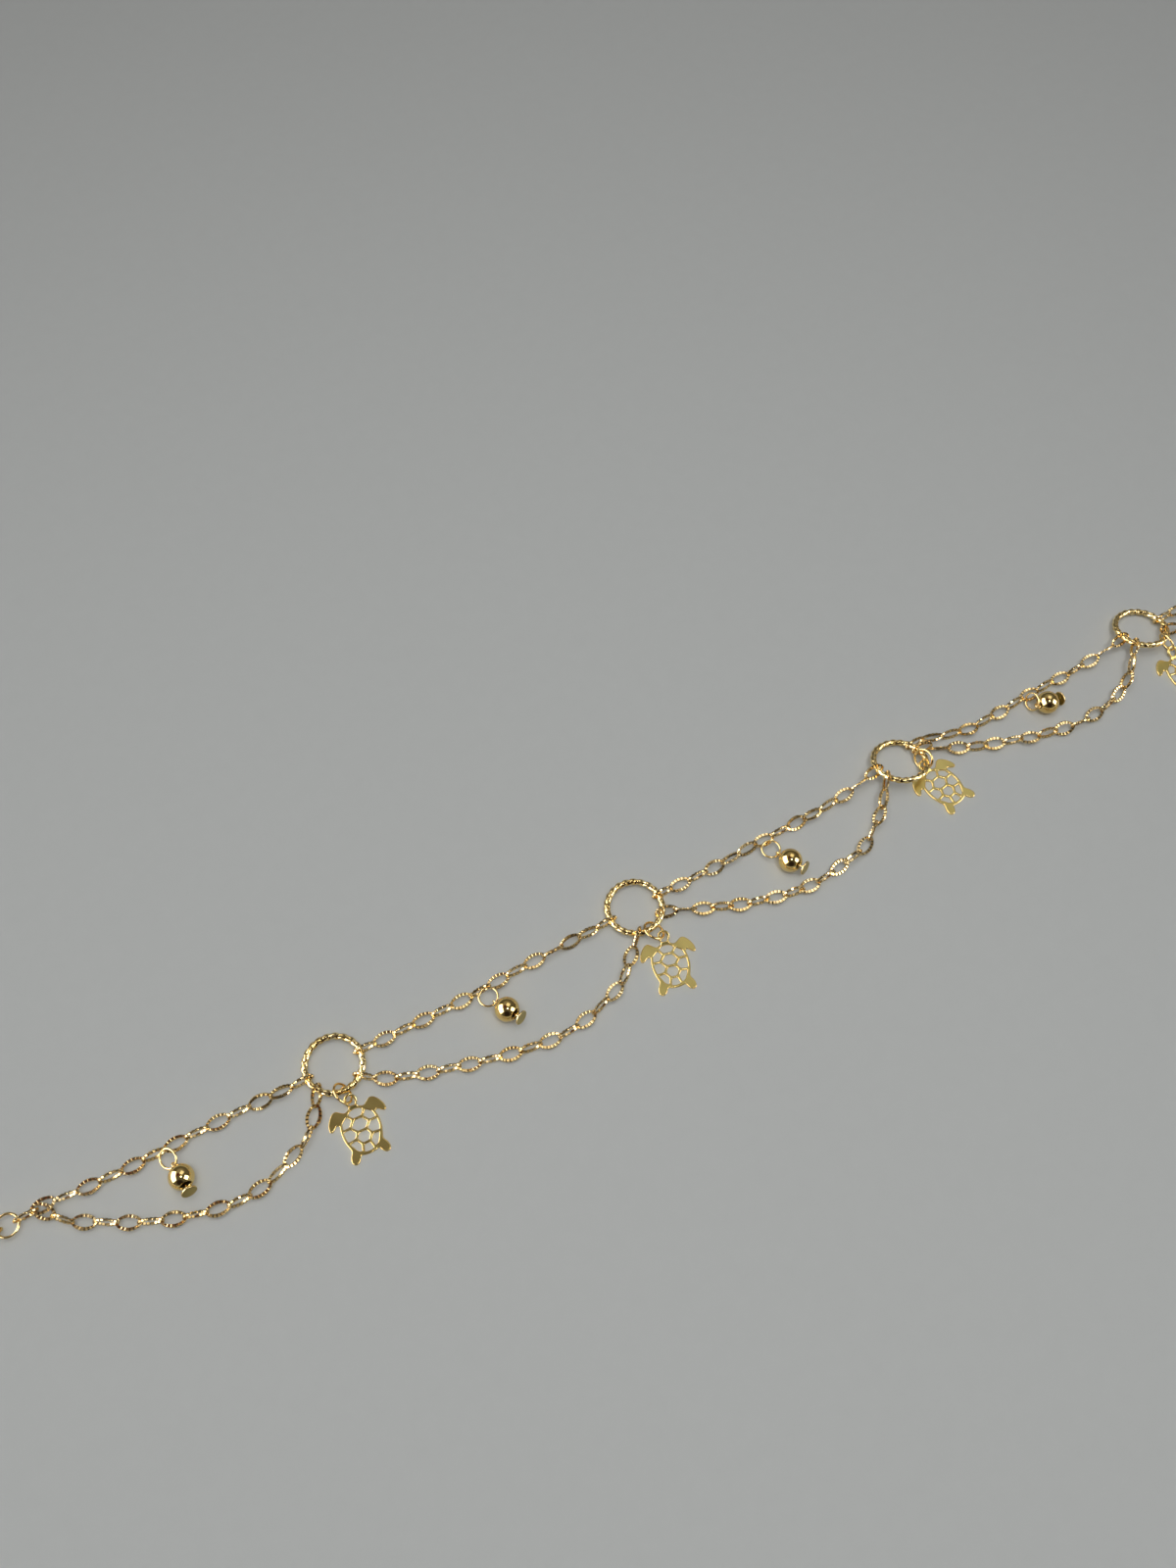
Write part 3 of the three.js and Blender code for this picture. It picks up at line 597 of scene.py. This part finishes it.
print("turtles")
turtle = {
    "thickness": 0.4, "edge": 0.1, "headTilt": 27, "neckLine": 3.3, "neckOverlap": 0.1,
    "headLift": 0.05, "outlineEase": 0.4, "cellEase": 0.2, "throatEase": 0.1,
    "halfOutline": [
        (0, -3.45), (0.75, -3.36), (1.3, -3.2), (1.5, -3.65), (1.9, -4.15), (2.45, -4.2), (2.8, -3.75),
        (2.7, -3.05), (2.2, -2.2), (2.45, -1.55), (2.72, -0.5), (2.75, 0.6), (2.55, 1.7), (3.0, 1.8),
        (3.45, 1.35), (3.85, 1.15), (4.1, 1.45), (4.0, 2.2), (3.5, 3.1), (2.95, 3.65), (2.4, 3.75),
        (1.85, 3.3), (1.3, 2.95), (0.7, 3.3)],
    "middleCells": [
        [(-0.6, 1.85), (0.6, 1.85), (1.15, 2.62), (0.62, 3), (0, 3.1), (-0.62, 3), (-1.15, 2.62)],
        [(-0.55, 0), (0.55, 0), (1.22, 0.76), (0.52, 1.62), (-0.52, 1.62), (-1.22, 0.76)],
        [(-0.46, -1.72), (0.46, -1.72), (0.95, -0.95), (0.55, -0.24), (-0.55, -0.24), (-0.95, -0.95)],
        [(-0.72, -2.98), (0, -3.12), (0.72, -2.98), (0.42, -1.96), (-0.42, -1.96)]],
    "sideCells": [
        [(1.42, 0.88), (2.4, 0.88), (2.2, 1.8), (1.35, 2.45), (0.8, 1.75)],
        [(1.2, -0.85), (2.28, -1), (2.44, -0.3), (2.45, 0.64), (1.42, 0.64), (0.8, -0.12)],
        [(0.95, -2.85), (1.5, -2.5), (2.15, -1.24), (1.2, -1.1), (0.68, -1.85)]],
    "cellScale": 0.95,
    "headLoop": {"middle": 4.45, "halfWidth": 0.88, "halfLength": 0.94},
    "headHole": {"middle": 4.36, "halfWidth": 0.54, "halfLength": 0.74},
    "throat": [(-0.7, -0.1), (0.7, -0.1), (0.62, 0.4), (-0.62, 0.4)],
}
turtlePlaces = {
    1: {"x": -0.5, "y": -9.95, "turn": -4.8, "ring": (-0.61, -4.57, 1.4), "azimuth": 0, "slope": 54},
    2: {"x": 47.9, "y": -10.8, "turn": -16, "ring": (48.3, -5.4, 1.1), "azimuth": 14.6, "slope": 33.5},
    3: {"x": 98.75, "y": -7.1, "turn": 11, "ring": (98.2, -2.2, 1.7), "azimuth": 189.4, "slope": 61.8},
    4: {"x": 144.1, "y": -10.1, "turn": -8, "ring": (144.41, -4.4, 1.7), "azimuth": 0, "slope": 76},
}
charmRing = {"outer": 3.4, "wire": 0.36}


def mirrored(corners):
    return [(-x, y) for x, y in reversed(corners)]


def scaledCell(corners):
    middle = sum((Vector(corner) for corner in corners), Vector((0, 0))) / len(corners)
    return [middle + (Vector(corner) - middle) * turtle["cellScale"] for corner in corners]


def roundCorners(corners, radius, steps=5):
    # the same shape with each corner eased into a short curve
    points = []
    count = len(corners)
    for i in range(count):
        before, corner, after = (Vector(corners[(i + shift) % count]) for shift in (-1, 0, 1))
        # at most a little under half a side, so that neighbouring curves stay apart
        ease = min(radius, (before - corner).length / 2.2, (after - corner).length / 2.2)
        start = corner + (before - corner).normalized() * ease
        finish = corner + (after - corner).normalized() * ease
        for step in range(steps + 1):
            t = step / steps
            points.append(start * (1 - t) ** 2 + corner * 2 * t * (1 - t) + finish * t ** 2)
    return points


def ellipse(size, count=40):
    return [
        Vector((size["halfWidth"] * math.cos(2 * math.pi * i / count),
                size["middle"] + size["halfLength"] * math.sin(2 * math.pi * i / count)))
        for i in range(count)]


def stampedPlate(loops, thickness, edge):
    # a plate cut to closed loops, the first its outline and the rest its holes, with eased edges
    curve = bpy.data.curves.new("stamping", "CURVE")
    curve.dimensions = "2D"
    curve.fill_mode = "BOTH"
    curve.extrude = thickness / 2 - edge
    curve.bevel_depth = edge
    curve.bevel_resolution = 2
    curve.offset = -edge
    for loop in loops:
        spline = curve.splines.new("POLY")
        spline.points.add(len(loop) - 1)
        for point, at in zip(spline.points, loop):
            point.co = (at[0], at[1], 0, 1)
        spline.use_cyclic_u = True
    holder = bpy.data.objects.new("stamping", curve)
    bpy.context.scene.collection.objects.link(holder)
    shape = bpy.data.meshes.new_from_object(holder.evaluated_get(bpy.context.evaluated_depsgraph_get()))
    bpy.data.objects.remove(holder)
    bm = bmesh.new()
    bm.from_mesh(shape)
    bpy.data.meshes.remove(shape)
    bmesh.ops.remove_doubles(bm, verts=bm.verts, dist=weldReach)
    bmesh.ops.recalc_face_normals(bm, faces=bm.faces)
    for face in bm.faces:
        # the flat faces take the first finish and the eased edges the second
        flat = abs(face.normal.z) > 0.98
        face.smooth = not flat
        face.material_index = 0 if flat else 1
    bmesh.ops.translate(bm, verts=bm.verts, vec=(0, 0, thickness / 2))
    return bm


def makeTurtle():
    outline = turtle["halfOutline"]
    loops = [roundCorners([*outline, *mirrored(outline[1:])], turtle["outlineEase"])]
    for corners in turtle["middleCells"]:
        loops.append(roundCorners(scaledCell(corners), turtle["cellEase"]))
    for corners in turtle["sideCells"]:
        cell = scaledCell(corners)
        loops.append(roundCorners(cell, turtle["cellEase"]))
        loops.append(roundCorners(mirrored(cell), turtle["cellEase"]))
    bm = stampedPlate(loops, turtle["thickness"], turtle["edge"])

    # the head is a loop that is bent up so that its ring passes under it
    neck = turtle["neckLine"]
    head = stampedPlate(
        [ellipse(turtle["headLoop"]), ellipse(turtle["headHole"])], turtle["thickness"], turtle["edge"])
    throatLoop = roundCorners([(x, neck + y) for x, y in turtle["throat"]], turtle["throatEase"])
    throat = stampedPlate([throatLoop], turtle["thickness"], turtle["edge"])
    for part in (head, throat):
        bmesh.ops.rotate(
            part, verts=part.verts, cent=(0, neck - turtle["neckOverlap"], 0),
            matrix=Matrix.Rotation(math.radians(turtle["headTilt"]), 3, "X"))
        bmesh.ops.translate(part, verts=part.verts, vec=(0, 0, turtle["headLift"]))
        shape = bpy.data.meshes.new("headShape")
        part.to_mesh(shape)
        part.free()
        bm.from_mesh(shape)
        bpy.data.meshes.remove(shape)
    return bm


for number, spot in turtlePlaces.items():
    bm = makeTurtle()
    putDown(bm, Matrix.Rotation(math.radians(spot["turn"]), 3, "Z"), place(spot["x"], spot["y"]))
    # the flat faces take the darker satin gold, whose darkness is painted shade; the eased edges keep a
    # plain bright gold
    finishPiece(
        bm, f"pierced_turtle_{number}", f"turtle_{number}", ["satinGoldWithPaintedShade", "brightEdgeGold"])
    facing = heading(spot["azimuth"], 90 - spot["slope"])
    bm = makeJumpRing(charmRing)
    putDown(bm, Vector((0, 0, 1)).rotation_difference(facing).to_matrix(), place(*spot["ring"]))
    finishPiece(bm, f"turtle_ring_{number}", f"turtle_jump_ring_{number}", ["wireGold"])


print("ends and clasp")
endRingReach = 2.55
clasp = {
    "bodyLength": 10, "bodyWidth": 5, "thickness": 1.8, "rim": 1.2, "nose": 0.9, "edge": 0.5,
    "eyeOut": 1.25, "ringOut": 2.1}
for number, end in enumerate(ends, 1):
    bm = bmesh.new()
    addLink(bm, Vector((end["x"], end["y"], routeHeight)), linkTurn(Vector((1, 0, 0)), 90))
    finishPiece(bm, f"common_link_{number}", f"end_link_{number}", ["chainGold"])
    bm = makeJumpRing(charmRing)
    ringX = end["x"] - end["toward"] * endRingReach
    putDown(bm, Matrix.Identity(3), place(ringX, end["y"], routeHeight))
    finishPiece(bm, f"last_ring_{number}", f"end_jump_ring_{number}", ["wireGold"])


def makeClaspBody():
    # a plain oval plate with an oval opening that lies nearer its free end
    outline = {"middle": 0, "halfWidth": clasp["bodyLength"] / 2, "halfLength": clasp["bodyWidth"] / 2}
    opening = {
        "middle": 0, "halfWidth": clasp["bodyLength"] / 2 - clasp["nose"] - clasp["rim"],
        "halfLength": clasp["bodyWidth"] / 2 - clasp["rim"]}
    openingLoop = [point - Vector((clasp["nose"], 0)) for point in ellipse(opening, 64)]
    body = stampedPlate([ellipse(outline, 64), openingLoop], clasp["thickness"], clasp["edge"])
    for face in body.faces:
        face.material_index = 0
    return body


endRingRadius = (charmRing["outer"] - charmRing["wire"]) / 2
claspX = ends[0]["x"] - (endRingReach + endRingRadius + clasp["bodyLength"] / 2 + clasp["ringOut"])
body = makeClaspBody()
putDown(body, Matrix.Identity(3), place(claspX, ends[0]["y"]))
bodyShape = bpy.data.meshes.new("bodyShape")
body.to_mesh(bodyShape)
body.free()
eyeX = claspX + clasp["bodyLength"] / 2 + clasp["eyeOut"]
bm = bmesh.new()
addLink(bm, Vector((eyeX, ends[0]["y"], routeHeight)), linkTurn(Vector((1, 0, 0)), 90))
bm.from_mesh(bodyShape)
bpy.data.meshes.remove(bodyShape)
finishPiece(bm, "ring_clasp", "clasp", ["polishedGold"])
bpy.data.meshes.remove(linkShape)


print("floor and light")
floorLook = {
    "size": 4.0, "below": 0.00001, "colour": (0.60, 0.625, 0.62), "mottle": 0.01, "mottleScale": 400,
    "roughness": 0.6, "specular": 0.2}
bm = bmesh.new()
bmesh.ops.create_grid(bm, x_segments=1, y_segments=1, size=floorLook["size"] / 2)
floorMesh = bpy.data.meshes.new("floor")
bm.to_mesh(floorMesh)
bm.free()
floor = bpy.data.objects.new("floor", floorMesh)
floor.location = (0, 0, -floorLook["below"])
bpy.context.scene.collection.objects.link(floor)


def tableFinish(look):
    # a matt pale surface with a very faint mottle
    material = bpy.data.materials.new("paleTable")
    material.use_nodes = True
    tree = material.node_tree
    surface = tree.nodes["Principled BSDF"]
    surface.inputs["Roughness"].default_value = look["roughness"]
    surface.inputs["Specular IOR Level"].default_value = look["specular"]
    coords = tree.nodes.new("ShaderNodeTexCoord")
    mottle = tree.nodes.new("ShaderNodeTexNoise")
    mottle.inputs["Scale"].default_value = look["mottleScale"]
    mottle.inputs["Detail"].default_value = 4
    joinSockets(tree, coords, "Object", mottle, "Vector")
    shade = tree.nodes.new("ShaderNodeValToRGB")
    low = [channel - look["mottle"] for channel in look["colour"]]
    high = [channel + look["mottle"] for channel in look["colour"]]
    shade.color_ramp.elements[0].color = (*low, 1)
    shade.color_ramp.elements[1].color = (*high, 1)
    joinSockets(tree, mottle, "Fac", shade, "Fac")
    joinSockets(tree, shade, "Color", surface, "Base Color")
    return material


floorMesh.materials.append(tableFinish(floorLook))

# soft panels: the way that each lies from the anklet, its size, its brightness, whether it lights
# the table and whether the gold mirrors it
panels = {
    "leftWindow": {
        "way": (-0.80, 0.33, 0.50), "distance": 1.1, "width": 1.5, "height": 0.9, "glow": 4.5,
        "table": False, "mirrored": True},
    "rightWindow": {
        "way": (0.654, -0.605, 0.512), "distance": 1.1, "width": 0.6, "height": 0.75, "glow": 5.0,
        "table": False, "mirrored": True},
    "ceilingPanel": {
        "way": (0.36, 0.28, 0.89), "distance": 1.0, "width": 0.5, "height": 0.55, "glow": 0.9,
        "table": False, "mirrored": True},
    "roundLamp": {
        "way": (-0.032, -0.255, 0.97), "distance": 0.6, "width": 0.1, "height": 0.1, "glow": 12.0,
        "table": True, "mirrored": True},
    "overheadPanel": {
        "way": (-0.12, -0.06, 0.99), "distance": 0.42, "width": 0.35, "height": 0.35, "glow": 2.05,
        "table": True, "mirrored": False},
}
for name, panel in panels.items():
    lamp = bpy.data.lights.new(name, "AREA")
    lamp.shape = "ELLIPSE" if name == "roundLamp" else "RECTANGLE"
    lamp.size, lamp.size_y = panel["width"], panel["height"]
    lamp.energy = panel["glow"] * panel["width"] * panel["height"] * math.pi
    holder = bpy.data.objects.new(name, lamp)
    way = Vector(panel["way"]).normalized()
    holder.location = way * panel["distance"]
    holder.rotation_euler = way.to_track_quat("Z", "Y").to_euler()
    holder.visible_diffuse = panel["table"]
    holder.visible_glossy = panel["mirrored"]
    bpy.context.scene.collection.objects.link(holder)

# the room: plain and dim, with a paler ceiling, a dark warm spot in it and a dark side
roomLook = {
    "wall": (0.11, 0.105, 0.10),
    "patches": [
        {"way": (0.25, 0.42, 0.87), "inner": 0.93, "outer": 0.75, "colour": (0.27, 0.26, 0.24)},
        {"way": (-0.12, 0.24, 0.96), "inner": 0.985, "outer": 0.955, "colour": (0.09, 0.03, 0.025)},
        {"way": (-0.38, -0.78, 0.50), "inner": 0.95, "outer": 0.86, "colour": (0.02, 0.015, 0.015)},
    ],
}


def roomLight(look):
    # each patch is a soft round spot on the wall colour, laid over the patches before it
    room = bpy.data.worlds.new("room")
    room.use_nodes = True
    tree = room.node_tree
    ways = tree.nodes.new("ShaderNodeTexCoord")
    lastSocket = None
    for patch in look["patches"]:
        toward = tree.nodes.new("ShaderNodeVectorMath")
        toward.operation = "DOT_PRODUCT"
        toward.inputs[1].default_value = Vector(patch["way"]).normalized()
        joinSockets(tree, ways, "Generated", toward, 0)
        edge = tree.nodes.new("ShaderNodeMapRange")
        edge.interpolation_type = "SMOOTHSTEP"
        edge.inputs["From Min"].default_value = patch["outer"]
        edge.inputs["From Max"].default_value = patch["inner"]
        joinSockets(tree, toward, "Value", edge, "Value")
        mix = tree.nodes.new("ShaderNodeMix")
        mix.data_type = "RGBA"
        joinSockets(tree, edge, "Result", mix, "Factor")
        if lastSocket:
            tree.links.new(lastSocket, mix.inputs[6])
        else:
            mix.inputs[6].default_value = (*look["wall"], 1)
        mix.inputs[7].default_value = (*patch["colour"], 1)
        lastSocket = mix.outputs[2]
    tree.links.new(lastSocket, tree.nodes["Background"].inputs["Color"])
    return room


bpy.context.scene.world = roomLight(roomLook)
bpy.context.scene.view_settings.view_transform = "Standard"
